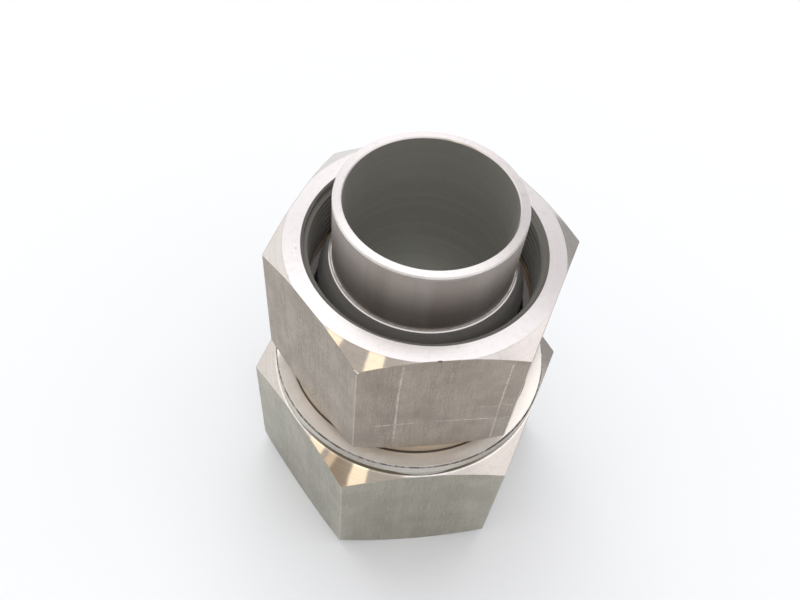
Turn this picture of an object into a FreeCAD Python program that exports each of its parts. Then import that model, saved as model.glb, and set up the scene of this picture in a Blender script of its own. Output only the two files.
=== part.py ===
"""Tube adapter fitting: a hexagon body drawn out into a plain tube stub, with its nut and ferrules.

The body stands on the flat mouth of its pipe port. Above the hexagon is a round collar, and from
the collar the body goes on as a thin tube stub, all one turned piece. Two ferrules are swaged onto
the stub. A loose hexagon nut is caught between them and the collar, with its threaded mouth up.

Units are millimetres. Z runs up along the bore, and the origin is the centre of the port's mouth,
on the surface that the fitting stands on. A flat of the body's hexagon faces -Y.
"""

import FreeCAD
import Part
import math
import os

# Tube stub
TUBE_OUTSIDE = 31.75
TUBE_WALL = 1.651
TUBE_END_LENGTH = 13.5
STUB_EDGE = 0.2
STUB_ROOT_CHAMFER = 0.6

# Hexagon body and its collar
BODY_ACROSS_FLATS = 53.975
BODY_TURNED_UNDERSIZE = 0.375
COLLAR_HEIGHT = 3.5
COLLAR_TOP = 36.65
COLLAR_EDGE = 0.3

# Parallel pipe port in the foot, bored at the thread's major diameter
PORT_THREAD_MAJOR = 41.91
PORT_THREAD_HEIGHT = 1.655
PORT_THREAD_DEPTH = 20.0
PORT_RUNOUT = 4.0
PORT_MOUTH_CHAMFER = 0.7
DRILL_POINT_HALF_ANGLE = 59.0

# Nut, its mouth bored at the thread's major diameter
NUT_ACROSS_FLATS = 47.625
NUT_LENGTH = 31.75
NUT_FACE_CIRCLE_OVERSIZE = 0.475
NUT_BOSS_UNDERSIZE = 0.225
NUT_BOSS_HEIGHT = 2.4
NUT_BOSS_EDGE = 0.3
NUT_CHAMBER_CLEARANCE = 1.1
NUT_THREAD_STEP = 1.2375
NUT_THREAD_DEPTH = 14.55
NUT_MOUTH_CHAMFER = 0.45
NUT_SHOULDER_DEPTH = 22.0
NUT_SHOULDER_SLOPE = 15.0
NUT_BORE_CHAMFER = 0.7
NUT_TUBE_CLEARANCE = 0.1
NUT_SEAT_CLEARANCE = 0.15
NUT_FREE_TRAVEL = 4.0
NUT_REST_TURN = 0.6

# Ferrules, swaged down onto the stub
FERRULE_GRIP_CLEARANCE = 0.02
FERRULE_BITE_DEPTH = 0.12
FERRULE_BITE_LENGTH = 1.2
FRONT_FERRULE_LENGTH = 10.5
FRONT_FERRULE_WALL = 2.43
FRONT_FERRULE_NOSE_WALL = 0.55
FRONT_FERRULE_CONE_ANGLE = 20.0
FRONT_FERRULE_EDGE = 0.5
FRONT_FERRULE_NOSE_BEVEL = 0.37
FRONT_FERRULE_NOSE_SLOPE = 25.0
FERRULE_SEAT_DEPTH = 1.6
FERRULE_SEAT_CLEARANCE = 0.05
BACK_FERRULE_WALL = 2.405
BACK_FERRULE_NOSE_WALL = 0.35
BACK_FERRULE_NECK = 1.3
BACK_FERRULE_FLANGE = 2.9
BACK_FERRULE_EDGE = 0.4

# Shared finish sizes
HEXAGON_CHAMFER_ANGLE = 30.0
HEXAGON_EDGE_RADIUS = 0.35

UP = FreeCAD.Vector(0, 0, 1)
CENTRE = FreeCAD.Vector(0, 0, 0)

# Radii that more than one piece is made to
TUBE_RADIUS = TUBE_OUTSIDE / 2
FERRULE_BORE_RADIUS = TUBE_RADIUS + FERRULE_GRIP_CLEARANCE
FRONT_FERRULE_RADIUS = FERRULE_BORE_RADIUS + FRONT_FERRULE_WALL
BACK_FERRULE_RADIUS = FERRULE_BORE_RADIUS + BACK_FERRULE_WALL
BODY_TURNED_RADIUS = (BODY_ACROSS_FLATS - BODY_TURNED_UNDERSIZE) / 2

# Heights, stacked up from the collar: nut, back ferrule, front ferrule, stub end
NUT_BACK = COLLAR_TOP + NUT_SEAT_CLEARANCE
NUT_FACE = NUT_BACK + NUT_LENGTH
NUT_SHOULDER = NUT_FACE - NUT_SHOULDER_DEPTH
BACK_FERRULE_BACK = NUT_SHOULDER + NUT_FREE_TRAVEL
BACK_FERRULE_FLANGE_TOP = BACK_FERRULE_BACK + BACK_FERRULE_FLANGE
FERRULE_SEAT_FOOT = BACK_FERRULE_FLANGE_TOP + BACK_FERRULE_NECK
FRONT_FERRULE_BACK = FERRULE_SEAT_FOOT + FERRULE_SEAT_CLEARANCE
FERRULE_NOSE = FRONT_FERRULE_BACK + FRONT_FERRULE_LENGTH
STUB_TOP = FERRULE_NOSE + TUBE_END_LENGTH


def rise(run, angle):
    """Height gained over a sideways run on a slope of so many degrees."""
    return run * math.tan(math.radians(angle))


def turned(half_section):
    """Solid turned about Z from the (radius, height) corners of its half section."""
    corners = [FreeCAD.Vector(radius, 0, height) for radius, height in half_section]
    corners.append(corners[0])
    return Part.Face(Part.makePolygon(corners)).revolve(CENTRE, UP, 360)


def hexagon_bar(across_flats, low, high):
    """Upright hexagon bar, a flat facing -Y, with its long edges broken to a small radius."""
    corner_radius = across_flats / math.sqrt(3)
    corners = []
    for number in range(7):
        turn = math.radians(60 * number)
        corners.append(FreeCAD.Vector(corner_radius * math.cos(turn), corner_radius * math.sin(turn), low))
    bar = Part.Face(Part.makePolygon(corners)).extrude(UP * (high - low))
    long_edges = [edge for edge in bar.Edges if edge.BoundBox.ZLength > (high - low) / 2]
    return bar.makeFillet(HEXAGON_EDGE_RADIUS, long_edges)


def corner_drop(across_flats, turned_radius):
    """How far from the turned circle the corner chamfer meets the hexagon's corners."""
    return rise(across_flats / math.sqrt(3) - turned_radius, HEXAGON_CHAMFER_ANGLE)


def hexagon_and_collar():
    """The body below the stub: foot and corners chamfered, collar turned round."""
    corner = BODY_ACROSS_FLATS / math.sqrt(3)
    drop = corner_drop(BODY_ACROSS_FLATS, BODY_TURNED_RADIUS)
    collar_foot = COLLAR_TOP - COLLAR_HEIGHT
    blank = turned([
        (0, 0),
        (BODY_TURNED_RADIUS, 0),
        (corner, drop),
        (corner, collar_foot - drop),
        (BODY_TURNED_RADIUS, collar_foot),
        (BODY_TURNED_RADIUS, COLLAR_TOP - COLLAR_EDGE),
        (BODY_TURNED_RADIUS - COLLAR_EDGE, COLLAR_TOP),
        (0, COLLAR_TOP),
    ])
    return hexagon_bar(BODY_ACROSS_FLATS, 0, COLLAR_TOP).common(blank)


def stub():
    """Plain tube end, pressed in a little where the front ferrule's nose has bitten into it."""
    bitten = TUBE_RADIUS - FERRULE_BITE_DEPTH
    return turned([
        (0, 0),
        (TUBE_RADIUS, 0),
        (TUBE_RADIUS + STUB_ROOT_CHAMFER, COLLAR_TOP),
        (TUBE_RADIUS, COLLAR_TOP + STUB_ROOT_CHAMFER),
        (TUBE_RADIUS, FERRULE_NOSE - FERRULE_BITE_LENGTH),
        (bitten, FERRULE_NOSE),
        (TUBE_RADIUS, FERRULE_NOSE + FERRULE_GRIP_CLEARANCE),
        (TUBE_RADIUS, STUB_TOP - STUB_EDGE),
        (TUBE_RADIUS - STUB_EDGE, STUB_TOP),
        (0, STUB_TOP),
    ])


def body_passage():
    """Everything bored out of the body: port thread, drill point and the bore of the stub."""
    thread = PORT_THREAD_MAJOR / 2
    drill = thread - PORT_THREAD_HEIGHT
    drill_depth = PORT_THREAD_DEPTH + PORT_RUNOUT
    bore = TUBE_RADIUS - TUBE_WALL
    drill_point = (drill - bore) / math.tan(math.radians(DRILL_POINT_HALF_ANGLE))
    return turned([
        (0, 0),
        (thread + PORT_MOUTH_CHAMFER, 0),
        (thread, PORT_MOUTH_CHAMFER),
        (thread, PORT_THREAD_DEPTH),
        (drill, PORT_THREAD_DEPTH),
        (drill, drill_depth),
        (bore, drill_depth + drill_point),
        (bore, STUB_TOP - STUB_EDGE),
        (bore + STUB_EDGE, STUB_TOP),
        (0, STUB_TOP),
    ])


def adapter_body():
    """Hexagon, collar and tube stub, turned from one length of hexagon bar."""
    return hexagon_and_collar().fuse(stub()).removeSplitter().cut(body_passage())


def nut_passage():
    """Everything bored out of the nut: tube bore, sloped shoulder, ferrule chamber and thread."""
    tube_bore = TUBE_RADIUS + NUT_TUBE_CLEARANCE
    chamber = BACK_FERRULE_RADIUS + NUT_CHAMBER_CLEARANCE
    thread = chamber + NUT_THREAD_STEP
    thread_foot = NUT_FACE - NUT_THREAD_DEPTH
    return turned([
        (0, NUT_BACK),
        (tube_bore + NUT_BORE_CHAMFER, NUT_BACK),
        (tube_bore, NUT_BACK + NUT_BORE_CHAMFER),
        (tube_bore, NUT_SHOULDER),
        (chamber, NUT_SHOULDER + rise(chamber - tube_bore, NUT_SHOULDER_SLOPE)),
        (chamber, thread_foot),
        (thread, thread_foot),
        (thread, NUT_FACE - NUT_MOUTH_CHAMFER),
        (thread + NUT_MOUTH_CHAMFER, NUT_FACE),
        (0, NUT_FACE),
    ])


def nut():
    """Hexagon nut, boss down and threaded mouth up, standing loose a little turned on the body."""
    corner = NUT_ACROSS_FLATS / math.sqrt(3)
    boss = (NUT_ACROSS_FLATS - NUT_BOSS_UNDERSIZE) / 2
    face_circle = (NUT_ACROSS_FLATS + NUT_FACE_CIRCLE_OVERSIZE) / 2
    boss_top = NUT_BACK + NUT_BOSS_HEIGHT
    blank = turned([
        (0, NUT_BACK),
        (boss - NUT_BOSS_EDGE, NUT_BACK),
        (boss, NUT_BACK + NUT_BOSS_EDGE),
        (boss, boss_top),
        (corner, boss_top + corner_drop(NUT_ACROSS_FLATS, boss)),
        (corner, NUT_FACE - corner_drop(NUT_ACROSS_FLATS, face_circle)),
        (face_circle, NUT_FACE),
        (0, NUT_FACE),
    ])
    bar = hexagon_bar(NUT_ACROSS_FLATS, NUT_BACK, NUT_FACE)
    bar.rotate(CENTRE, UP, NUT_REST_TURN)
    return bar.common(blank).cut(nut_passage())


def front_ferrule():
    """Ring with a long cone that seats in the mating body, its bevelled nose swaged into the tube."""
    nose = FERRULE_BORE_RADIUS + FRONT_FERRULE_NOSE_WALL
    cone_top = FERRULE_NOSE - rise(FRONT_FERRULE_NOSE_BEVEL, FRONT_FERRULE_NOSE_SLOPE)
    cone_length = (FRONT_FERRULE_RADIUS - nose) / math.tan(math.radians(FRONT_FERRULE_CONE_ANGLE))
    return turned([
        (FERRULE_BORE_RADIUS, FRONT_FERRULE_BACK + FERRULE_SEAT_DEPTH),
        (FERRULE_BORE_RADIUS, FERRULE_NOSE - FERRULE_BITE_LENGTH),
        (FERRULE_BORE_RADIUS - FERRULE_BITE_DEPTH, FERRULE_NOSE),
        (nose - FRONT_FERRULE_NOSE_BEVEL, FERRULE_NOSE),
        (nose, cone_top),
        (FRONT_FERRULE_RADIUS, cone_top - cone_length),
        (FRONT_FERRULE_RADIUS, FRONT_FERRULE_BACK + FRONT_FERRULE_EDGE),
        (FRONT_FERRULE_RADIUS - FRONT_FERRULE_EDGE, FRONT_FERRULE_BACK),
        (FERRULE_BORE_RADIUS + FERRULE_SEAT_DEPTH, FRONT_FERRULE_BACK),
    ])


def back_ferrule():
    """Flanged ring whose nose wedges into the seat in the front ferrule's back."""
    neck = FERRULE_BORE_RADIUS + FERRULE_SEAT_DEPTH
    nose_top = FERRULE_SEAT_FOOT + FERRULE_SEAT_DEPTH - BACK_FERRULE_NOSE_WALL
    return turned([
        (FERRULE_BORE_RADIUS, BACK_FERRULE_BACK),
        (FERRULE_BORE_RADIUS, nose_top),
        (FERRULE_BORE_RADIUS + BACK_FERRULE_NOSE_WALL, nose_top),
        (neck, FERRULE_SEAT_FOOT),
        (neck, BACK_FERRULE_FLANGE_TOP),
        (BACK_FERRULE_RADIUS, BACK_FERRULE_FLANGE_TOP),
        (BACK_FERRULE_RADIUS, BACK_FERRULE_BACK + BACK_FERRULE_EDGE),
        (BACK_FERRULE_RADIUS - BACK_FERRULE_EDGE, BACK_FERRULE_BACK),
    ])


def main():
    """Writes one STEP file for each piece."""
    os.makedirs("parts", exist_ok=True)
    pieces = {
        "adapter_body": adapter_body(),
        "nut": nut(),
        "front_ferrule": front_ferrule(),
        "back_ferrule": back_ferrule(),
    }
    for name, shape in pieces.items():
        print(name, "solids", len(shape.Solids), "valid", shape.isValid(), "volume", round(shape.Volume, 1))
        shape.exportStep(f"parts/{name}.step")
    print("heights:", "nut", NUT_BACK, "to", NUT_FACE, "ferrule nose", FERRULE_NOSE, "stub end", STUB_TOP)


main()
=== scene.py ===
# %% [markdown]
# A stainless tube adapter: a hexagon body with a collar and a plain tube stub, two ferrules swaged
# onto the stub, and a loose hexagon nut. The solids come ready made and keep their shape. This
# lesson cuts the two threads as real geometry, gives each machined surface its own finish, and sets
# up a pale studio round the part. Lengths are in metres, and MM turns a workshop size into metres.

# %% Load the solids
import bpy
import math
from mathutils import Matrix, Vector


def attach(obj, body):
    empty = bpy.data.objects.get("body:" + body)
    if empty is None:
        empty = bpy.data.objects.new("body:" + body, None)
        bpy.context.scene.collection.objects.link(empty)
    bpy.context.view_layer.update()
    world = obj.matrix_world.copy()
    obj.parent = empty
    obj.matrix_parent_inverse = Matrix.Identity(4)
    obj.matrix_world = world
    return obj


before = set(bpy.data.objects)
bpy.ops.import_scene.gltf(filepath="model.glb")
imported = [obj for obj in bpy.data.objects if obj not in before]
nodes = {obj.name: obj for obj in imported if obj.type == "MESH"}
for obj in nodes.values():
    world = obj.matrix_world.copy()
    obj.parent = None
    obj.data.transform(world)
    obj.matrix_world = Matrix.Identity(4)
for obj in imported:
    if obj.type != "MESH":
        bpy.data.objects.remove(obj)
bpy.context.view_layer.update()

MM = 0.001

# %% [markdown]
# The camera comes first, because every finish is judged through it. It looks down on the fitting
# from the front left at about 54 degrees. Its place, heading, tilt and roll are written as a
# photographer would set them on a stand, and matrices turn them into the camera's own axes. An
# empty to point at would also do, but a measured place keeps the roll exact.

# %% Camera
CAMERA_PLACE = Vector((-20.68, -85.33, 170.53)) * MM
CAMERA_HEADING = math.radians(11.57)
CAMERA_TILT_DOWN = math.radians(53.73)
CAMERA_ROLL = math.radians(6.85)
FOCAL_PIXELS = 794.34
FRAME_WIDTH = 800
SENSOR_WIDTH = 36.0


def add_camera():
    """Camera from its place and three angles, for an 800 by 600 frame."""
    data = bpy.data.cameras.new("camera")
    data.sensor_width = SENSOR_WIDTH
    data.lens = FOCAL_PIXELS / FRAME_WIDTH * SENSOR_WIDTH
    data.clip_start = 10 * MM
    camera = bpy.data.objects.new("camera", data)
    bpy.context.scene.collection.objects.link(camera)
    heading = Matrix.Rotation(-CAMERA_HEADING, 4, "Z")
    tilt = Matrix.Rotation(math.radians(90) - CAMERA_TILT_DOWN, 4, "X")
    roll = Matrix.Rotation(CAMERA_ROLL, 4, "Z")
    camera.matrix_world = Matrix.Translation(CAMERA_PLACE) @ heading @ tilt @ roll
    bpy.context.scene.camera = camera
    return camera


camera = add_camera()
print("camera lens in mm:", round(camera.data.lens, 2))

# %% [markdown]
# Both threads are hidden from most sides but catch light in the mouths. A displaced or bumped wall
# would never show a crest against the dark, so each thread is a real helical ridge: one closed
# strip with the flank shape of its standard, set a little into the wall that carries it. It could
# be made with the Screw modifier too, but a formula lets the crest fade where the mouth's chamfer
# cuts through it.

# %% Thread maker
STEPS_PER_TURN = 96
ROOT_IN_WALL = 0.06 * MM
FADE_TURNS = 0.25


def thread_ridge(name, wall, depth, pitch, low, high, mouth, crest_share, root_share, rows=2):
    """Closed helical ridge on the inside of a round wall; mouth is +1 for a mouth above, -1 below."""
    turns = (high - low) / pitch
    steps = int(turns * STEPS_PER_TURN)
    foot = pitch * (1 - root_share) / 2
    crest = pitch * crest_share / 2
    section = [(wall + ROOT_IN_WALL, -foot)]
    for row in range(rows + 1):
        share = row / rows
        section.append((wall - depth * share, -foot + (foot - crest) * share))
    section += [(radius, -height) for radius, height in reversed(section)]
    mouth_height = high if mouth > 0 else low
    points = []
    for step in range(steps + 1):
        turn = step / STEPS_PER_TURN
        shrink = max(0.0, min(1.0, turn / FADE_TURNS, (turns - turn) / FADE_TURNS))
        angle = 2 * math.pi * turn
        for radius, height in section:
            z = low + pitch * turn + height
            cut_back = wall - max(0.0, mouth * (mouth_height - z))
            radius = max(wall + (radius - wall) * shrink, cut_back) if radius < wall else radius
            points.append((radius * math.cos(angle), radius * math.sin(angle), z))
    count = len(section)
    faces = []
    for step in range(steps):
        for side in range(count):
            a = step * count + side
            b = step * count + (side + 1) % count
            faces.append((a, b, b + count, a + count))
    faces.append(tuple(reversed(range(count))))
    faces.append(tuple(range(steps * count, (steps + 1) * count)))
    mesh = bpy.data.meshes.new(name)
    mesh.from_pydata(points, [], faces)
    mesh.validate()
    mesh.update()
    ridge = bpy.data.objects.new(name, mesh)
    bpy.context.scene.collection.objects.link(ridge)
    print(name, "turns:", round(turns, 1), "faces:", len(mesh.polygons))
    return ridge


# %% The nut's thread
NUT_THREAD_WALL = 20.6375 * MM
NUT_THREAD_PITCH = 1.27 * MM
NUT_THREAD_LOW = 57.4 * MM
NUT_THREAD_HIGH = 68.1 * MM
UNIFIED_DEPTH = 0.541
UNIFIED_CREST = 0.25
UNIFIED_ROOT = 0.125

nut_thread_depth = UNIFIED_DEPTH * NUT_THREAD_PITCH
nut_thread = thread_ridge("nut_thread", NUT_THREAD_WALL, nut_thread_depth, NUT_THREAD_PITCH,
                          NUT_THREAD_LOW, NUT_THREAD_HIGH, 1, UNIFIED_CREST, UNIFIED_ROOT)
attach(nut_thread, "nut")

# %% The port's thread
PORT_THREAD_WALL = 20.955 * MM
PORT_THREAD_PITCH = 2.309 * MM
PORT_THREAD_LOW = 1.1 * MM
PORT_THREAD_HIGH = 18.8 * MM
PIPE_DEPTH = 0.64
PIPE_CREST = 0.14
PIPE_ROOT = 0.14

port_thread_depth = PIPE_DEPTH * PORT_THREAD_PITCH
port_thread = thread_ridge("port_thread", PORT_THREAD_WALL, port_thread_depth, PORT_THREAD_PITCH,
                           PORT_THREAD_LOW, PORT_THREAD_HIGH, -1, PIPE_CREST, PIPE_ROOT)
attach(port_thread, "body")

# %% [markdown]
# A finish is built from nodes, and the same few effects come back on every piece: turning lines,
# bar grain, scratches and worn edges. Each effect is a node group. These small helpers keep the
# groups readable: one adds a node and wires its inputs, the others are the nodes used most.

# %% Node helpers
def wire(tree, socket, value):
    """Links a socket to an output, or gives it a fixed value."""
    if isinstance(value, bpy.types.NodeSocket):
        tree.links.new(value, socket)
    else:
        socket.default_value = value


def add(tree, kind, values=(), **settings):
    """New node of a kind, with its inputs wired in order and its settings made."""
    node = tree.nodes.new(kind)
    for name, setting in settings.items():
        setattr(node, name, setting)
    for socket, value in zip(node.inputs, values):
        if value is not None:
            wire(tree, socket, value)
    return node


def calc(tree, operation, *values, clamp=False):
    """Result of one Math node."""
    return add(tree, "ShaderNodeMath", values, operation=operation, use_clamp=clamp).outputs[0]


def vector_calc(tree, operation, *values):
    """Result of one Vector Math node, a number or a vector."""
    node = add(tree, "ShaderNodeVectorMath", values, operation=operation)
    return node.outputs["Value" if operation in ("DOT_PRODUCT", "LENGTH", "DISTANCE") else "Vector"]


def fade(tree, value, start, end, low=0.0, high=1.0):
    """Soft step: low where the value is at start, high where it is at end."""
    limits = (value, start, end, low, high)
    return add(tree, "ShaderNodeMapRange", limits, interpolation_type="SMOOTHSTEP").outputs["Result"]


# %% Blends and noise
def blend(tree, share, first, second, mode="MIX"):
    """A color that goes from first to second as share goes from 0 to 1."""
    node = tree.nodes.new("ShaderNodeMix")
    node.data_type = "RGBA"
    node.blend_type = mode
    for socket, value in zip([node.inputs[0], node.inputs[6], node.inputs[7]], [share, first, second]):
        wire(tree, socket, value)
    return node.outputs[2]


def between(tree, share, first, second):
    """A number that goes from first to second as share goes from 0 to 1."""
    return add(tree, "ShaderNodeMix", (share, None, first, second), data_type="FLOAT").outputs[0]


def noise(tree, vector, scale, detail=2.0, rough=0.5):
    """Soft noise between 0 and 1."""
    node = add(tree, "ShaderNodeTexNoise")
    for name, value in {"Vector": vector, "Scale": scale, "Detail": detail, "Roughness": rough}.items():
        wire(tree, node.inputs[name], value)
    return node.outputs["Fac"]


def split(tree, vector):
    """The three numbers of a vector."""
    return add(tree, "ShaderNodeSeparateXYZ", (vector,)).outputs


def join(tree, x, y, z):
    """A vector from three numbers."""
    return add(tree, "ShaderNodeCombineXYZ", (x, y, z)).outputs[0]


def squeezed(tree, vector, across, along):
    """Noise coordinate whose blobs are across wide and along tall."""
    return vector_calc(tree, "MULTIPLY", vector, (1 / across, 1 / across, 1 / along))


# %% [markdown]
# A group is a small tree with named sockets. One helper makes an empty group, and the other places
# a finished group in a material and wires its inputs by name.

# %% Group helpers
def new_group(name, inputs, outputs):
    """Empty node group with named sockets; returns its tree, its inputs and its output node."""
    tree = bpy.data.node_groups.new(name, "ShaderNodeTree")
    for socket_name, kind, value in inputs:
        socket = tree.interface.new_socket(socket_name, in_out="INPUT", socket_type="NodeSocket" + kind)
        if value is not None:
            socket.default_value = value
    for socket_name, kind in outputs:
        tree.interface.new_socket(socket_name, in_out="OUTPUT", socket_type="NodeSocket" + kind)
    source = tree.nodes.new("NodeGroupInput")
    return tree, source.outputs, tree.nodes.new("NodeGroupOutput")


def use(tree, group, **values):
    """Places a group in a tree; names in values match socket names with _ for a space."""
    node = tree.nodes.new("ShaderNodeGroup")
    node.node_tree = group
    for name, value in values.items():
        wire(tree, node.inputs[name.replace("_", " ")], value)
    return node.outputs


# %% [markdown]
# Almost every surface here is turned, so most masks are made in the half section: how far a point
# lies from the bore's axis, and how high. The first group measures just that. The second is a soft
# window in those two measures, and it picks out one surface, such as the rim or the collar's top.

# %% Half section and windows
def half_section():
    tree, given, out = new_group(
        "half_section", [("Position", "Vector", None)],
        [("Radius", "Float"), ("Height", "Float")])
    x, y, z = split(tree, given["Position"])
    wire(tree, out.inputs["Radius"], vector_calc(tree, "LENGTH", join(tree, x, y, 0.0)))
    wire(tree, out.inputs["Height"], z)
    return tree


WINDOW_SOFTNESS = 0.04 * MM


def section_window():
    tree, given, out = new_group(
        "section_window",
        [("Radius", "Float", 0.0), ("Height", "Float", 0.0), ("Inner", "Float", 0.0), ("Outer", "Float", 0.0),
         ("Low", "Float", 0.0), ("High", "Float", 0.0)],
        [("Mask", "Float")])
    mask = None
    sides = [("Radius", "Inner", 1.0), ("Radius", "Outer", -1.0),
             ("Height", "Low", 1.0), ("Height", "High", -1.0)]
    for value, edge, sign in sides:
        past = calc(tree, "MULTIPLY", calc(tree, "SUBTRACT", given[value], given[edge]), sign)
        side = fade(tree, past, -WINDOW_SOFTNESS, WINDOW_SOFTNESS)
        mask = side if mask is None else calc(tree, "MULTIPLY", mask, side)
    wire(tree, out.inputs["Mask"], mask)
    return tree


SECTION = half_section()
WINDOW = section_window()
print("groups:", SECTION.name, WINDOW.name)

# %% [markdown]
# Turning leaves fine rings round the axis, at the pitch of the tool's feed. On any turned surface
# they depend on radius and height alone, so noise is read from a point made of just those two. A
# little noise round the circle keeps the rings from looking printed.

# %% Turning lines
BROAD_RINGS = 0.13
SWEEP_SIZE = 9 * MM


def turning_lines():
    tree, given, out = new_group(
        "turning_lines",
        [("Position", "Vector", None), ("Radius", "Float", 0.0), ("Height", "Float", 0.0),
         ("Lines per mm", "Float", 4.0)],
        [("Relief", "Float"), ("Tone", "Float")])
    per_metre = calc(tree, "MULTIPLY", given["Lines per mm"], 1 / MM)
    outwards = calc(tree, "MULTIPLY", given["Radius"], per_metre)
    upwards = calc(tree, "MULTIPLY", given["Height"], per_metre)
    rings = join(tree, outwards, 0.0, upwards)
    fine = noise(tree, rings, 1.0, 2.0)
    broad = noise(tree, rings, BROAD_RINGS, 1.0)
    sweep = noise(tree, given["Position"], 1 / SWEEP_SIZE, 1.0)
    depth = fade(tree, sweep, 0.3, 0.7, 0.45, 1.0)
    centred = calc(tree, "SUBTRACT", calc(tree, "MULTIPLY_ADD", broad, 0.6, fine), 0.8)
    relief = calc(tree, "MULTIPLY", centred, depth)
    wire(tree, out.inputs["Relief"], relief)
    wire(tree, out.inputs["Tone"], fade(tree, relief, -0.3, 0.3))
    return tree


TURNING = turning_lines()
print("group:", TURNING.name)

# %% [markdown]
# The flats are the drawn skin of hexagon bar: fine lines run along the bar, with broader soft
# streaks among them and faint cloudy stains. Noise that is squeezed across and stretched along Z
# gives lines on every flat at once, with no seams to unwrap.

# %% Bar grain
# Each grain is as wide across the bar, and as long along it, as its two lengths say.
FINE_LINE = (0.2 * MM, 5 * MM)
MOTTLE = (0.35 * MM, 0.7 * MM)
NARROW_STREAK = (1.6 * MM, 60 * MM)
BROAD_STREAK = (4.5 * MM, 90 * MM)
BROAD_SHARE = 0.55
STAIN_SIZE = 6 * MM


def bar_grain():
    tree, given, out = new_group(
        "bar_grain", [("Position", "Vector", None)],
        [("Relief", "Float"), ("Tone", "Float"), ("Streak", "Float"), ("Stain", "Float")])
    here = given["Position"]
    fine = noise(tree, squeezed(tree, here, *FINE_LINE), 1.0, 3.0, 0.6)
    mottle = noise(tree, squeezed(tree, here, *MOTTLE), 1.0, 3.0, 0.7)
    narrow = noise(tree, squeezed(tree, here, *NARROW_STREAK), 1.0, 2.0)
    broad = noise(tree, squeezed(tree, here, *BROAD_STREAK), 1.0, 1.0)
    streak = between(tree, BROAD_SHARE, narrow, broad)
    stain = noise(tree, here, 1 / STAIN_SIZE, 3.0)
    lines = calc(tree, "MULTIPLY_ADD", mottle, 0.5, calc(tree, "MULTIPLY", fine, 0.5))
    wire(tree, out.inputs["Relief"], lines)
    wire(tree, out.inputs["Tone"], fade(tree, lines, 0.34, 0.66))
    wire(tree, out.inputs["Streak"], fade(tree, streak, 0.40, 0.62))
    wire(tree, out.inputs["Stain"], fade(tree, stain, 0.4, 0.65))
    return tree


GRAIN = bar_grain()
print("group:", GRAIN.name)

# %% [markdown]
# Handling leaves single scratches and nicks. They are placed one by one as straight cuts between two
# points, and the mask is the distance to that line, made uneven by noise so that the cut breaks up.

# %% Scratches
WOBBLE_LENGTH = 1.5 * MM
BREAK_LENGTH = 0.7 * MM


def straight_scratch():
    tree, given, out = new_group(
        "straight_scratch",
        [("Position", "Vector", None), ("Start", "Vector", (0, 0, 0)), ("End", "Vector", (0, 0, MM)),
         ("Width", "Float", 0.1 * MM)],
        [("Mask", "Float")])
    along = vector_calc(tree, "SUBTRACT", given["End"], given["Start"])
    from_start = vector_calc(tree, "SUBTRACT", given["Position"], given["Start"])
    length_squared = vector_calc(tree, "DOT_PRODUCT", along, along)
    reached = vector_calc(tree, "DOT_PRODUCT", from_start, along)
    share = calc(tree, "DIVIDE", reached, length_squared, clamp=True)
    nearest = vector_calc(tree, "MULTIPLY", along, join(tree, share, share, share))
    wobble = noise(tree, given["Position"], 1 / WOBBLE_LENGTH, 1.0)
    gap = vector_calc(tree, "LENGTH", vector_calc(tree, "SUBTRACT", from_start, nearest))
    gap = calc(tree, "MULTIPLY_ADD", calc(tree, "SUBTRACT", wobble, 0.5), given["Width"], gap)
    broken = noise(tree, given["Position"], 1 / BREAK_LENGTH, 2.0)
    solid = fade(tree, calc(tree, "DIVIDE", gap, given["Width"]), 0.9, 0.35)
    wire(tree, out.inputs["Mask"], calc(tree, "MULTIPLY", solid, fade(tree, broken, 0.35, 0.55, 0.3, 1.0)))
    return tree


SCRATCH = straight_scratch()
print("group:", SCRATCH.name)

# %% [markdown]
# Thin lines along edges are rings at one radius and height of the half section. Most of them paint
# light and shade: painted highlights along edges, a painted shade line at an edge, and golden painted
# reflections in the nut; the rest are marks in the bore. The bar's long corners are bright from wear
# and need a mask of their own: they are the points that lie furthest out towards the six corners.

# %% Edge rings and hexagon zones
EDGE_PATCH = 0.9 * MM
CORNER_PATCH = 1.1 * MM
CORNER_UNEVEN = 0.08 * MM
CORNER_FADE = (0.10 * MM, 0.05 * MM)
FLAT_FADE = (0.09 * MM, 0.04 * MM)
FLAT_ANGLES = (30, 90, 150)


def edge_ring():
    tree, given, out = new_group(
        "edge_ring",
        [("Position", "Vector", None), ("Radius", "Float", 0.0), ("Height", "Float", 0.0),
         ("Ring radius", "Float", 0.01), ("Ring height", "Float", 0.0), ("Width", "Float", 0.2 * MM)],
        [("Mask", "Float")])
    across = calc(tree, "SUBTRACT", given["Radius"], given["Ring radius"])
    up = calc(tree, "SUBTRACT", given["Height"], given["Ring height"])
    gap = vector_calc(tree, "LENGTH", join(tree, across, up, 0.0))
    uneven = noise(tree, given["Position"], 1 / EDGE_PATCH, 2.0)
    near = fade(tree, calc(tree, "DIVIDE", gap, given["Width"]), 1.0, 0.3)
    wire(tree, out.inputs["Mask"], calc(tree, "MULTIPLY", near, fade(tree, uneven, 0.3, 0.6, 0.5, 1.0)))
    return tree


def flat_mask(tree, here, across_flats):
    """1 where a point lies on one of the six flats."""
    reach = None
    for angle in FLAT_ANGLES:
        side = (math.cos(math.radians(angle)), math.sin(math.radians(angle)), 0)
        out = calc(tree, "ABSOLUTE", vector_calc(tree, "DOT_PRODUCT", here, side))
        reach = out if reach is None else calc(tree, "MAXIMUM", reach, out)
    inside = calc(tree, "SUBTRACT", calc(tree, "MULTIPLY", across_flats, 0.5), reach)
    return fade(tree, inside, *FLAT_FADE)


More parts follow.
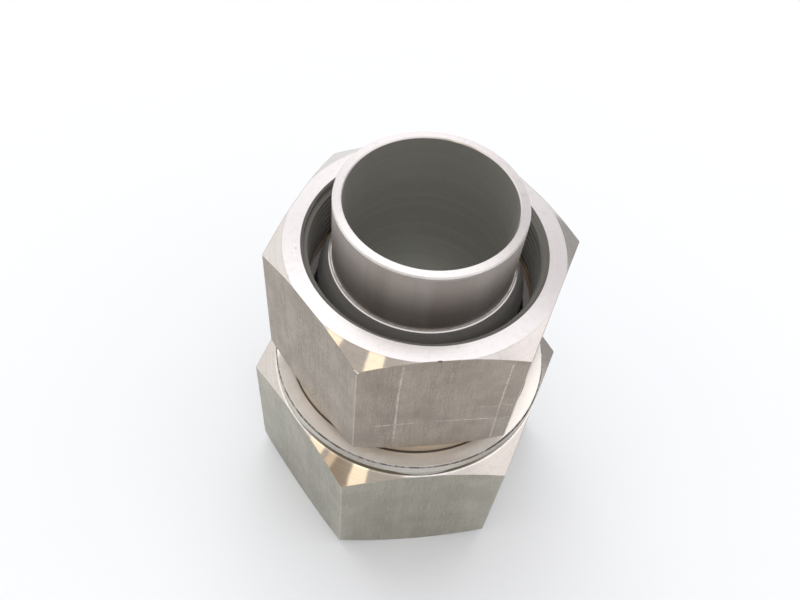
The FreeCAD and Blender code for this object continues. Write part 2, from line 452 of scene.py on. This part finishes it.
def hexagon_zones():
    tree, given, out = new_group(
        "hexagon_zones",
        [("Position", "Vector", None), ("Radius", "Float", 0.0), ("Across flats", "Float", 0.05)],
        [("Flat", "Float"), ("Corner", "Float")])
    wire(tree, out.inputs["Flat"], flat_mask(tree, given["Position"], given["Across flats"]))
    corner_radius = calc(tree, "MULTIPLY", given["Across flats"], 1 / math.sqrt(3))
    short = calc(tree, "SUBTRACT", corner_radius, given["Radius"])
    uneven = noise(tree, given["Position"], 1 / CORNER_PATCH, 2.0)
    short = calc(tree, "MULTIPLY_ADD", calc(tree, "SUBTRACT", uneven, 0.5), CORNER_UNEVEN, short)
    wire(tree, out.inputs["Corner"], fade(tree, short, *CORNER_FADE))
    return tree


EDGE = edge_ring()
HEXAGON = hexagon_zones()
print("node groups:", [group.name for group in bpy.data.node_groups])

# %% [markdown]
# One maker builds the steel of every piece, because all of them are cut from the same kind of bar.
# It starts as turned steel. Windows then repaint single surfaces, such as the matt bore, streaks run
# down the stub, and the flats get the drawn grain. Some windows paint shade and reflections. Bands,
# rings, corners bright from wear, painted edge highlights, cuts and nicks come last. Position in the
# object's own space picks the zone, so the finish turns with the nut. Turned steel blurs a reflection
# across its rings and not along them: the tangent node's ring direction, crossed with the normal,
# gives the blur's direction.

# %% Steel maker
TURNED_DARK = (0.60, 0.572, 0.54, 1)
TURNED_LIGHT = (0.70, 0.672, 0.645, 1)
# This color is the bright metal of corners and cuts, and also paints highlights along edges.
BRIGHT_EDGE = (0.86, 0.84, 0.80, 1)
# This color darkens the random soil below, and also paints shade where the lists use it: the thin dark line
# at the collar's top edge and the dark nicks on the nut.
GRIME = (0.10, 0.09, 0.08, 1)
# This color is painted shadow in the gap at the foot of the nut's boss.
FOOT_GRIME = (0.13, 0.105, 0.08, 1)
BUMP_DEPTH = 0.02 * MM
BLUR_SHAPE = 0.75
SOIL_SHARE = 0.09
CORNER_WEAR = 0.24
LINES_PER_MM = 5.0
CLOUD_SIZE = 4 * MM
SOIL_SIZE = 1.1 * MM
TURNED_SMOOTH = 0.13
TURNED_ROUGH = 0.18
TURNED_RELIEF = 0.12
RING_LIFT = (1.25, 1.25, 1.25, 1)
RING_SHARE = 0.5
STREAK_SHARE = 0.6
STAIN_SHARE = 0.5
DRAWN_ROUGH = 0.40
DRAWN_SMOOTH = 0.32
DRAWN_RELIEF = 0.2
CUT_RELIEF = 0.4


# %% Masks by size
def window_mask(tree, place, inner, outer, low, high):
    """Mask of one machined surface, from radii and heights in mm."""
    sizes = {"Inner": inner * MM, "Outer": outer * MM, "Low": low * MM, "High": high * MM}
    return use(tree, WINDOW, **sizes, **place)["Mask"]


def ring_mask(tree, here, place, radius, level, width):
    """Mask of a thin ring round the axis, from sizes in mm."""
    sizes = {"Ring_radius": radius * MM, "Ring_height": level * MM, "Width": width * MM}
    return use(tree, EDGE, Position=here, **sizes, **place)["Mask"]


def cut_mask(tree, here, start, end, width):
    """Mask of a straight cut between two points, in mm."""
    ends = {"Start": Vector(start) * MM, "End": Vector(end) * MM}
    return use(tree, SCRATCH, Position=here, Width=width * MM, **ends)["Mask"]


def stronger(tree, first, second):
    """The larger of two masks, where the first may be missing."""
    return second if first is None else calc(tree, "MAXIMUM", first, second)


def blur_direction(tree, here, across_flats):
    """Across the rings on turned steel, level across the grain on a flat."""
    round_axis = add(tree, "ShaderNodeTangent", direction_type="RADIAL", axis="Z").outputs[0]
    normal = add(tree, "ShaderNodeNewGeometry").outputs["Normal"]
    across = vector_calc(tree, "CROSS_PRODUCT", normal, round_axis)
    if across_flats is None:
        return across
    sockets = (flat_mask(tree, here, across_flats), None, None, None, across, round_axis)
    return add(tree, "ShaderNodeMix", sockets, data_type="VECTOR").outputs[1]


# %% [markdown]
# The steel is painted in layers, as glazes are, and each layer is one short function that takes the
# tones so far and gives them back changed. One long function would do the same, but here a layer can
# be left out or moved to see what it does.

# %% Machined surfaces
def paint_surfaces(tree, place, tone, surfaces, color, rough):
    """One machined surface after another, each with its own color, roughness and share of metal."""
    metal = 1.0
    for inner, outer, low, high, shade, gloss, share in surfaces:
        mask = window_mask(tree, place, inner, outer, low, high)
        lifted = blend(tree, 1.0, shade, RING_LIFT, "MULTIPLY")
        ringed = blend(tree, tone, shade, lifted)
        color = blend(tree, mask, color, blend(tree, RING_SHARE, shade, ringed))
        rough = between(tree, mask, rough, gloss)
        if share < 1:
            metal = between(tree, mask, metal, share)
    return color, rough, metal


def paint_streaks(tree, place, grain, streaks, color):
    """Soft streaks that run down a surface."""
    for inner, outer, low, high, shade, strength in streaks:
        mask = window_mask(tree, place, inner, outer, low, high)
        streaked = calc(tree, "MULTIPLY", mask, grain["Streak"])
        color = blend(tree, calc(tree, "MULTIPLY", streaked, strength), color, shade)
    return color


# %% Drawn flats
def paint_flats(tree, flat, grain, skin, color, rough, relief):
    """The drawn skin of the bar, on the flats."""
    dark, light = skin
    drawn = blend(tree, grain["Tone"], dark, light)
    drawn = blend(tree, calc(tree, "MULTIPLY", grain["Streak"], STREAK_SHARE), drawn, light)
    drawn = blend(tree, calc(tree, "MULTIPLY", grain["Stain"], STAIN_SHARE), drawn, dark)
    color = blend(tree, flat, color, drawn)
    rough = between(tree, flat, rough, fade(tree, grain["Tone"], 0.0, 1.0, DRAWN_ROUGH, DRAWN_SMOOTH))
    relief = between(tree, flat, relief, calc(tree, "MULTIPLY", grain["Relief"], DRAWN_RELIEF))
    return color, rough, relief


# %% Lines, wear, highlights and nicks
def paint_lines(tree, here, place, bands, rings, color):
    """Bands on one surface and thin rings at one edge: painted highlights, shade and reflections, and marks.
    """
    for inner, outer, low, high, shade in bands:
        color = blend(tree, window_mask(tree, place, inner, outer, low, high), color, shade)
    for radius, level, width, shade in rings:
        color = blend(tree, ring_mask(tree, here, place, radius, level, width), color, shade)
    return color


def paint_wear(tree, here, place, edges, cuts, worn, color, relief):
    """Bright metal on corners from wear and in cuts, and painted highlights along edges, with the cuts sunk a
    little.
    """
    for radius, level, width in edges:
        worn = stronger(tree, worn, ring_mask(tree, here, place, radius, level, width))
    for start, end, width, strength in cuts:
        mask = calc(tree, "MULTIPLY", cut_mask(tree, here, start, end, width), strength)
        worn = stronger(tree, worn, mask)
        relief = calc(tree, "SUBTRACT", relief, calc(tree, "MULTIPLY", mask, CUT_RELIEF))
    if worn is not None:
        color = blend(tree, worn, color, BRIGHT_EDGE)
    return color, relief


def paint_nicks(tree, here, nicks, color, relief):
    """Small marks of a given color, sunk a little: the dark ones paint the shade in dents, the orange one a
    reflection.
    """
    for start, end, width, strength, shade in nicks:
        mask = cut_mask(tree, here, start, end, width)
        color = blend(tree, calc(tree, "MULTIPLY", mask, strength), color, shade)
        relief = calc(tree, "SUBTRACT", relief, mask)
    return color, relief


# %% The whole steel
def turned_back(tree, here, turn):
    """Position as if the piece were not turned at rest."""
    rotated = add(tree, "ShaderNodeVectorRotate", rotation_type="Z_AXIS")
    wire(tree, rotated.inputs["Vector"], here)
    rotated.inputs["Angle"].default_value = -turn
    return rotated.outputs[0]


def steel(name, surfaces=(), streaks=(), rings=(), edges=(), bands=(), cuts=(), nicks=(), across_flats=None,
          skin=None, turn=0.0):
    """Satin steel; each surface is (inner, outer, low, high, color, roughness, metal), in mm."""
    material = bpy.data.materials.new(name)
    material.use_nodes = True
    tree = material.node_tree
    here = add(tree, "ShaderNodeTexCoord").outputs["Object"]
    if turn:
        here = turned_back(tree, here, turn)
    section = use(tree, SECTION, Position=here)
    place = {"Radius": section["Radius"], "Height": section["Height"]}
    turning = use(tree, TURNING, Position=here, Lines_per_mm=LINES_PER_MM, **place)
    grain = use(tree, GRAIN, Position=here)
    cloud = noise(tree, here, 1 / CLOUD_SIZE, 3.0)
    color = blend(tree, turning["Tone"], TURNED_DARK, TURNED_LIGHT)
    rough = fade(tree, cloud, 0.3, 0.7, TURNED_SMOOTH, TURNED_ROUGH)
    relief = calc(tree, "MULTIPLY", turning["Relief"], TURNED_RELIEF)
    color, rough, metal = paint_surfaces(tree, place, turning["Tone"], surfaces, color, rough)
    soil = noise(tree, here, 1 / SOIL_SIZE, 4.0, 0.65)
    color = blend(tree, fade(tree, soil, 0.5, 0.72, 0.0, SOIL_SHARE), color, GRIME)
    color = paint_streaks(tree, place, grain, streaks, color)
    worn = None
    if across_flats:
        zones = use(tree, HEXAGON, Position=here, Radius=section["Radius"], Across_flats=across_flats)
        color, rough, relief = paint_flats(tree, zones["Flat"], grain, skin, color, rough, relief)
        worn = calc(tree, "MULTIPLY", zones["Corner"], CORNER_WEAR)
    color = paint_lines(tree, here, place, bands, rings, color)
    color, relief = paint_wear(tree, here, place, edges, cuts, worn, color, relief)
    color, relief = paint_nicks(tree, here, nicks, color, relief)
    shader = tree.nodes["Principled BSDF"]
    wire(tree, shader.inputs["Base Color"], color)
    wire(tree, shader.inputs["Roughness"], rough)
    wire(tree, shader.inputs["Metallic"], metal)
    shader.inputs["Anisotropic"].default_value = BLUR_SHAPE
    wire(tree, shader.inputs["Tangent"], blur_direction(tree, here, across_flats))
    bump = add(tree, "ShaderNodeBump")
    bump.inputs["Strength"].default_value = 1.0
    bump.inputs["Distance"].default_value = BUMP_DEPTH
    wire(tree, bump.inputs["Height"], relief)
    wire(tree, shader.inputs["Normal"], bump.outputs[0])
    return material


def dress(piece, material):
    """Gives every slot of a piece the same material."""
    if not piece.data.materials:
        piece.data.materials.append(material)
    for slot in piece.material_slots:
        slot.material = material


# %% [markdown]
# The body: its flats are drawn bar with a faint green-grey cast, the stub is duller than the faced
# rim, the collar is bright, and the bore is matt inside, as pickled tube is. The chamfers of the
# hexagon are the smoothest surfaces of all, and show their surroundings almost as a mirror does.

# %% The body's steel
BODY_FLATS = 53.975 * MM
BODY_SKIN = ((0.295, 0.282, 0.23, 1), (0.45, 0.43, 0.355, 1))
BORE_GREY = (0.262, 0.262, 0.238, 1)
BORE_MARK = (0.30, 0.295, 0.27, 1)
STUB_GREY = (0.40, 0.37, 0.345, 1)
STUB_STREAK = (0.27, 0.22, 0.19, 1)
PORT_GREY = (0.40, 0.39, 0.37, 1)
COLLAR_TOP_STEEL = (0.75, 0.725, 0.675, 1)
COLLAR_SIDE_STEEL = (0.56, 0.54, 0.49, 1)
COLLAR_FOOT = (0.42, 0.395, 0.35, 1)
STUB_RIM = (0.73, 0.71, 0.695, 1)
SHOULDER_STEEL = (0.60, 0.57, 0.53, 1)
# Surfaces, streaks and bands start with inner and outer radius, low and high, and rings with radius,
# height and width, all in mm.
BODY_SURFACES = [
    (13.0, 14.3, 24.0, 78.6, BORE_GREY, 0.55, 0.45),
    (0.0, 21.9, -1.0, 25.0, PORT_GREY, 0.40, 0.8),
    (15.5, 16.2, 37.3, 78.45, STUB_GREY, 0.32, 0.75),
    (14.3, 15.95, 78.45, 79.0, STUB_RIM, 0.26, 1.0),
    (16.8, 26.6, 36.4, 37.0, COLLAR_TOP_STEEL, 0.2, 0.65),
    # Painted shadow on the collar's top round the foot of the nut's boss.
    (16.8, 23.95, 36.4, 37.0, FOOT_GRIME, 0.5, 0.4),
    # The collar's side is painted darker than its top, as painted shade for the dim paper that it mirrors;
    # the band below it is painted shade at the collar's foot.
    (26.5, 27.0, 34.5, 36.3, COLLAR_SIDE_STEEL, 0.30, 0.5),
    (26.5, 27.0, 33.2, 34.5, COLLAR_FOOT, 0.10, 1.0),
    (26.85, 31.3, 30.3, 33.12, SHOULDER_STEEL, 0.07, 1.0),
]
BODY_STREAKS = [(15.5, 16.2, 37.3, 78.0, STUB_STREAK, 0.4), (13.0, 14.3, 24.0, 78.0, STUB_STREAK, 0.1)]
# The first ring is painted shade: a thin dark line along the collar's top edge.
BODY_RINGS = [(26.72, 36.5, 0.30, GRIME)]
BORE_MARK_RADIUS = 14.22
BORE_MARK_WIDTH = 0.6
BORE_MARK_LEVELS = (65, 62.5, 57, 53)
for level in BORE_MARK_LEVELS:
    BODY_RINGS.append((BORE_MARK_RADIUS, level, BORE_MARK_WIDTH, BORE_MARK))
# A painted highlight: a bright line on the shoulder beside the collar's foot.
BODY_EDGES = [(26.95, 33.08, 0.2)]
body_steel = steel("body_steel", BODY_SURFACES, BODY_STREAKS, BODY_RINGS, BODY_EDGES,
                   across_flats=BODY_FLATS, skin=BODY_SKIN)
print("body surfaces:", len(BODY_SURFACES), "rings:", len(BODY_RINGS))

# %% [markdown]
# The nut: the same bar in a warmer skin, with the scratches of a part that has been handled. Its
# thread and chamber are dull and dark, from the lubricant that such nuts carry. The scratches could
# be noise too, but a few placed one by one look like the accidents that they are.

# %% The nut's steel
NUT_TURN = math.radians(0.6)
NUT_FLATS = 47.625 * MM
NUT_FRONT = -NUT_FLATS / 2 / MM
NUT_SKIN = ((0.26, 0.222, 0.182, 1), (0.42, 0.368, 0.312, 1))
DULL_THREAD = (0.17, 0.168, 0.15, 1)
CHAMBER_STEEL = (0.50, 0.49, 0.46, 1)
GOLD_TINT = (0.66, 0.52, 0.32, 1)
GOLD_ARC = (1.0, 0.80, 0.48, 1)
STEP_STEEL = (0.62, 0.60, 0.62, 1)
BOSS_BROWN = (0.46, 0.38, 0.29, 1)
FACED_STEEL = (0.715, 0.695, 0.685, 1)
FOOT_LIGHT = (0.50, 0.45, 0.39, 1)
RUST_SPOT = (0.72, 0.42, 0.20, 1)
CHAMFER_STEEL = (0.66, 0.635, 0.605, 1)
NUT_SURFACES = [
    (15.0, 21.12, 37.5, 68.6, DULL_THREAD, 0.5, 0.3),
    (15.0, 19.6, 37.5, 53.95, CHAMBER_STEEL, 0.5, 0.15),
    # The thread's run-out groove is painted golden: a painted reflection.
    (20.2, 20.9, 54.1, 57.5, GOLD_TINT, 0.3, 0.6),
    (19.35, 20.7, 53.9, 54.1, STEP_STEEL, 0.5, 0.3),
    # The nut's boss, under the hexagon's overhang, is painted dark and warm brown: painted shade.
    (23.2, 24.2, 36.7, 39.2, BOSS_BROWN, 0.35, 0.8),
    # Painted shadow at the foot of the boss, where it stands over the collar.
    (23.2, 24.2, 36.7, 37.05, FOOT_GRIME, 0.5, 0.4),
    (21.08, 24.1, 68.5, 68.7, FACED_STEEL, 0.28, 0.9),
    (24.1, 27.7, 66.2, 68.5, CHAMFER_STEEL, 0.07, 1.0),
]
# Two painted golden reflections: thin bright arcs in the thread's run-out groove.
NUT_RINGS = [(20.62, 55.2, 0.34, GOLD_ARC), (20.62, 56.5, 0.34, GOLD_ARC)]
# A painted highlight: a thin light line along the lower edge of the flats.
NUT_BANDS = [(23.75, 27.8, 39.15, 39.38, FOOT_LIGHT)]
# Cuts and nicks: start, end, width and strength, and a color for nicks.
NUT_CUTS = [
    ((-6.52, NUT_FRONT, 67.5), (-6.77, NUT_FRONT, 58.2), 0.24, 0.34),
    ((-6.77, NUT_FRONT, 58.2), (-6.57, NUT_FRONT, 42.4), 0.26, 0.38),
    ((10.88, NUT_FRONT, 66.1), (10.9, NUT_FRONT, 55.3), 0.2, 0.42),
    ((10.9, NUT_FRONT, 55.3), (11.19, NUT_FRONT, 41.4), 0.22, 0.32),
    ((-9.95, NUT_FRONT, 48.6), (-3.6, NUT_FRONT, 48.8), 0.19, 0.46),
    ((0.4, NUT_FRONT, 48.9), (10.9, NUT_FRONT, 48.5), 0.19, 0.44),
    ((7.7, NUT_FRONT, 53.0), (10.6, NUT_FRONT, 52.8), 0.13, 0.26),
    ((11.6, NUT_FRONT, 53.3), (13.2, NUT_FRONT, 52.9), 0.15, 0.34),
    ((11.85, NUT_FRONT, 48.05), (13.3, NUT_FRONT, 48.75), 0.15, 0.3),
    # The last cut is the painted highlight of a dent at the front left corner.
    ((-14.1, -23.31, 66.72), (-13.6, -23.68, 66.66), 0.5, 1.0),
]
NUT_NICKS = [
    ((-1.25, NUT_FRONT, 68.5), (-0.85, NUT_FRONT, 68.45), 0.34, 1.0, GRIME),
    # These two nicks paint the shade in that dent.
    ((-14.05, -23.35, 66.42), (-13.8, -23.7, 66.34), 0.34, 1.0, GRIME),
    ((-14.15, -23.1, 66.86), (-13.85, -23.2, 66.88), 0.3, 0.8, GRIME),
    ((-23.25, -5.8, 68.5), (-23.2, -6.1, 68.5), 0.25, 0.6, GRIME),
    ((-21.8, -0.4, 68.55), (-21.8, -0.2, 68.55), 0.2, 0.5, GRIME),
    # The orange spot on the boss is a painted reflection.
    ((-1.6, -23.6, 38.8), (-1.0, -23.6, 38.85), 0.5, 0.8, RUST_SPOT),
]
nut_steel = steel("nut_steel", NUT_SURFACES, rings=NUT_RINGS, bands=NUT_BANDS, cuts=NUT_CUTS, nicks=NUT_NICKS,
                  across_flats=NUT_FLATS, skin=NUT_SKIN, turn=NUT_TURN)
print("nut surfaces:", len(NUT_SURFACES), "cuts:", len(NUT_CUTS), "nicks:", len(NUT_NICKS))

# %% [markdown]
# The ferrules are smooth turned rings, dull down in the nut and bright only at the nose that bites the
# tube. The thread ridges take the tones of the walls that carry them. Each steel is then given to its
# pieces through their material slots, which leaves the meshes alone.

# %% The ferrules' and threads' steel
FERRULE_GREY = (0.40, 0.39, 0.37, 1)
NOSE_SHADOW = (0.24, 0.22, 0.20, 1)
FERRULE_SURFACES = [
    (16.46, 19.1, 45.0, 65.12, FERRULE_GREY, 0.3, 0.45),
    (15.7, 16.2, 65.0, 65.4, NOSE_SHADOW, 0.3, 0.8),
]
# A painted highlight: a bright line round the edge of the ferrule's nose.
NOSE_EDGES = [(15.97, 65.3, 0.1)]
NUT_THREAD_SURFACES = [(15.0, 21.2, 20.0, 69.0, DULL_THREAD, 0.6, 0.2)]
PORT_THREAD_SURFACES = [(0.0, 21.9, -1.0, 25.0, PORT_GREY, 0.40, 0.8)]
ferrule_steel = steel("ferrule_steel", FERRULE_SURFACES, edges=NOSE_EDGES)
thread_steel = steel("thread_steel", NUT_THREAD_SURFACES)
port_thread_steel = steel("port_thread_steel", PORT_THREAD_SURFACES)

dress(nodes["adapter_body"], body_steel)
dress(nodes["nut"], nut_steel)
dress(nodes["front_ferrule"], ferrule_steel)
dress(nodes["back_ferrule"], ferrule_steel)
dress(nut_thread, thread_steel)
dress(port_thread, port_thread_steel)
print("materials:", [material.name for material in bpy.data.materials])

# %% [markdown]
# The fitting stands on plain white paper. The paper is matt, and it is lit by the same sky as the
# part, so that the part's own soft shadow falls on it. The camera and mirror rays see the paper a
# little lifted, so that it comes out white and bright steel shows it white too. The paper lies a
# hair below the fitting's foot, so that the two faces don't share one plane.

# %% Floor
FLOOR_REACH = 4.0
FLOOR_DROP = 0.05 * MM
PAPER = (0.735, 0.765, 0.778, 1)
PAPER_LIFT = (0.92, 0.97, 1.0, 1)
PAPER_ROUGHNESS = 0.95
LIFT_STRENGTH = 0.07


def add_floor():
    mesh = bpy.data.meshes.new("floor")
    corners = [(-1, -1), (1, -1), (1, 1), (-1, 1)]
    points = [(x * FLOOR_REACH, y * FLOOR_REACH, -FLOOR_DROP) for x, y in corners]
    mesh.from_pydata(points, [], [(0, 1, 2, 3)])
    floor = bpy.data.objects.new("floor", mesh)
    bpy.context.scene.collection.objects.link(floor)
    material = bpy.data.materials.new("floor_paper")
    material.use_nodes = True
    tree = material.node_tree
    shader = tree.nodes["Principled BSDF"]
    shader.inputs["Base Color"].default_value = PAPER
    shader.inputs["Roughness"].default_value = PAPER_ROUGHNESS
    shader.inputs["Specular IOR Level"].default_value = 0.0
    path = add(tree, "ShaderNodeLightPath").outputs
    mirrored = calc(tree, "MAXIMUM", path["Is Glossy Ray"], path["Is Transmission Ray"])
    seen = calc(tree, "MAXIMUM", path["Is Camera Ray"], mirrored)
    shader.inputs["Emission Color"].default_value = PAPER_LIFT
    wire(tree, shader.inputs["Emission Strength"], calc(tree, "MULTIPLY", seen, LIFT_STRENGTH))
    mesh.materials.append(material)
    return floor


floor = add_floor()
print("floor reach in m:", FLOOR_REACH)

# %% [markdown]
# Steel shows what stands round it, so the studio is painted as a sky of soft cards: a white ceiling,
# a paler wall on each side, a grey stand where the camera is, and three small warm lamps beside it.
# Area lamps would do the same with more noise. Each card is one mask from a ray's direction. Past
# the paper's edge the camera sees a plain pale backdrop, while steel still mirrors the cards.

# %% Studio card
def studio_card():
    tree, given, out = new_group(
        "studio_card",
        [("Direction", "Vector", None), ("Facing", "Vector", (0, 0, 1)), ("Side", "Vector", (1, 0, 0)),
         ("Up", "Vector", (0, 1, 0)), ("Half width", "Float", 0.3), ("Half height", "Float", 0.3),
         ("Softness", "Float", 0.1)],
        [("Mask", "Float")])
    ahead = vector_calc(tree, "DOT_PRODUCT", given["Direction"], given["Facing"])
    safe = calc(tree, "MAXIMUM", ahead, 0.05)
    mask = fade(tree, ahead, 0.05, 0.15)
    for axis, half in (("Side", "Half width"), ("Up", "Half height")):
        aside = vector_calc(tree, "DOT_PRODUCT", given["Direction"], given[axis])
        off = calc(tree, "ABSOLUTE", calc(tree, "DIVIDE", aside, safe))
        past = calc(tree, "SUBTRACT", off, given[half])
        edge = fade(tree, past, given["Softness"], calc(tree, "MULTIPLY", given["Softness"], -1.0))
        mask = calc(tree, "MULTIPLY", mask, edge)
    wire(tree, out.inputs["Mask"], mask)
    return tree


CARD = studio_card()
print("group:", CARD.name)


# %% Card directions
def card_axes(azimuth, elevation, lean):
    """Facing, side and up of a card at an angle from +X and a height above the horizon, leaning back."""
    across = math.radians(azimuth)
    up = math.radians(elevation)
    facing = Vector((math.cos(across) * math.cos(up), math.sin(across) * math.cos(up), math.sin(up)))
    level = Vector((-math.sin(across), math.cos(across), 0))
    turn = Matrix.Rotation(math.radians(lean), 3, facing)
    return facing, turn @ level, turn @ facing.cross(level)


print("straight up, facing:", tuple(round(edge, 2) for edge in card_axes(0, 90, 0)[0]))

# %% Cards of the sky
SKY_LOW = (0.60, 0.60, 0.60, 1)
SKY_MIDDLE = (1.02, 0.97, 0.98, 1)
SKY_CEILING = (1.10, 1.08, 1.12, 1)
BACKDROP = (0.96, 0.98, 0.99, 1)
# Each card: name, azimuth, elevation, half width, half height, softness and lean in degrees, color.
SKY_CARDS = [
    ("back wall", 102, 32, 28, 14, 5, 0, (1.30, 1.28, 1.30, 1)),
    ("back window", 86, 67, 26, 15, 3, 0, (2.0, 1.94, 1.98, 1)),
    ("dim corner", 55, 45, 13, 9, 3, 0, (0.60, 0.56, 0.58, 1)),
    ("left wall", 150, 18, 38, 20, 8, 0, (1.12, 1.09, 1.08, 1)),
    ("right wall", 338, 36, 24, 10, 5, 0, (1.26, 1.20, 1.22, 1)),
    ("right foot", 5, 2, 62, 13, 4, 0, (0.46, 0.45, 0.45, 1)),
    ("dark room", 262, 5, 68, 12, 3, 0, (0.32, 0.29, 0.24, 1)),
    ("camera stand", 231, 55, 20, 11, 2.5, 0, (0.64, 0.58, 0.53, 1)),
    ("camera grip", 219, 48, 6, 3.5, 1, 0, (0.45, 0.36, 0.27, 1)),
    ("first lamp", 196, 49, 4.0, 6.6, 0.8, 22, (1.62, 1.38, 1.06, 1)),
    ("small lamp", 210.5, 48.5, 1.8, 2.0, 0.8, 0, (1.05, 0.84, 0.62, 1)),
    ("second lamp", 231, 55.5, 3.6, 8.5, 0.5, 15, (1.62, 1.40, 1.08, 1)),
]
print("cards:", len(SKY_CARDS))


# %% The sky
def tangent_of(degrees):
    """Half size of a card one unit away, from its angle."""
    return math.tan(math.radians(degrees))


def add_sky():
    world = bpy.data.worlds.new("studio")
    bpy.context.scene.world = world
    world.use_nodes = True
    tree = world.node_tree
    direction = add(tree, "ShaderNodeTexCoord").outputs["Generated"]
    height = split(tree, direction)[2]
    color = blend(tree, fade(tree, height, 0.1, 0.5), SKY_LOW, SKY_MIDDLE)
    color = blend(tree, fade(tree, height, 0.71, 0.80), color, SKY_CEILING)
    for name, azimuth, elevation, half_width, half_height, softness, lean, shade in SKY_CARDS:
        facing, side, up = card_axes(azimuth, elevation, lean)
        mask = use(tree, CARD, Direction=direction, Facing=facing, Side=side, Up=up,
                   Half_width=tangent_of(half_width), Half_height=tangent_of(half_height),
                   Softness=tangent_of(softness))["Mask"]
        color = blend(tree, mask, color, shade)
        print("sky card:", name)
    seen = add(tree, "ShaderNodeLightPath").outputs["Is Camera Ray"]
    background = tree.nodes["Background"]
    wire(tree, background.inputs["Color"], blend(tree, seen, color, BACKDROP))
    background.inputs["Strength"].default_value = 1.0


add_sky()
bpy.context.scene.view_settings.view_transform = "Standard"

# %% [markdown]
# The shadow on the paper falls towards the camera, so the main light comes from behind. A sun lamp
# with a wide angle gives that soft edge. It is kept out of mirror rays, because the painted sky
# already holds what the steel should show.

# %% Key lamp
KEY_FROM = (95, 52)
KEY_ANGLE = 65
KEY_STRENGTH = 0.6
KEY_COLOR = (1.0, 0.985, 0.97)
KEY_DISTANCE = 0.5


def add_key_lamp():
    data = bpy.data.lights.new("key_lamp", "SUN")
    data.energy = KEY_STRENGTH
    data.angle = math.radians(KEY_ANGLE)
    data.color = KEY_COLOR
    lamp = bpy.data.objects.new("key_lamp", data)
    facing = card_axes(*KEY_FROM, 0)[0]
    lamp.rotation_euler = facing.to_track_quat("Z", "Y").to_euler()
    lamp.location = facing * KEY_DISTANCE
    lamp.visible_glossy = False
    bpy.context.scene.collection.objects.link(lamp)
    return lamp


key_lamp = add_key_lamp()
print("key lamp strength:", key_lamp.data.energy)

# %% [markdown]
# Light also comes up through the open port from the paper below, more than rays alone would bring
# in so few bounces. A small lamp in the port, facing up, stands for it.

# %% Port lamp
PORT_LAMP_HEIGHT = 21 * MM
PORT_LAMP_SIZE = 24 * MM
PORT_LAMP_WATTS = 0.009


def add_port_lamp():
    data = bpy.data.lights.new("port_lamp", "AREA")
    data.shape = "DISK"
    data.size = PORT_LAMP_SIZE
    data.energy = PORT_LAMP_WATTS
    lamp = bpy.data.objects.new("port_lamp", data)
    lamp.location = (0, 0, PORT_LAMP_HEIGHT)
    lamp.rotation_euler = (math.pi, 0, 0)
    lamp.visible_camera = False
    lamp.visible_glossy = False
    bpy.context.scene.collection.objects.link(lamp)
    return lamp


port_lamp = add_port_lamp()
print("port lamp height in mm:", round(port_lamp.location.z / MM, 1))
